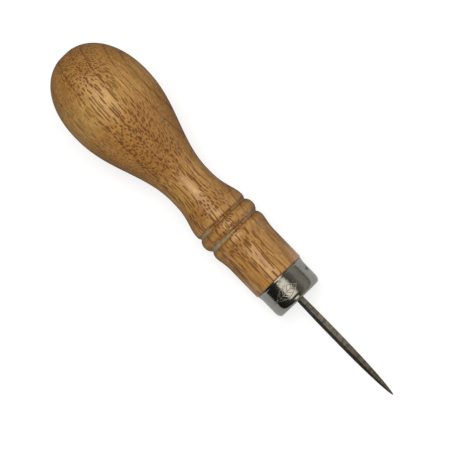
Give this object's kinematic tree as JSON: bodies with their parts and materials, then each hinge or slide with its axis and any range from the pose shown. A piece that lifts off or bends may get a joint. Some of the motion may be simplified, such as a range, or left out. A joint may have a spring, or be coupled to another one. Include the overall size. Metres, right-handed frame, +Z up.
{
  "type": "scratch awl",
  "caption": "Scratch awl with a pear-shaped turned wood haft, a nickel-plated ferrule cup and a square-ground blade that tapers to a long point.",
  "frame": {"origin": "centre of the awl's box on the level surface that it lies on", "axes": "+X towards the tip, +Z up; the awl lies on its bulb and on the ferrule's end corner, so its own axis slopes down 4.7 degrees towards the tip"},
  "size_m": [0.1416, 0.0298, 0.03],
  "materials": {
    "haft_wood": "semi-gloss lacquer over open-pored hardwood",
    "ferrule_nickel": "bright nickel plate, lightly scuffed",
    "blade_steel": "ground and oil-darkened"
  },
  "bodies": {
    "root": {"handle": "haft_wood", "ferrule": "ferrule_nickel", "awl_blade": "blade_steel"}
  },
  "joints": []
}
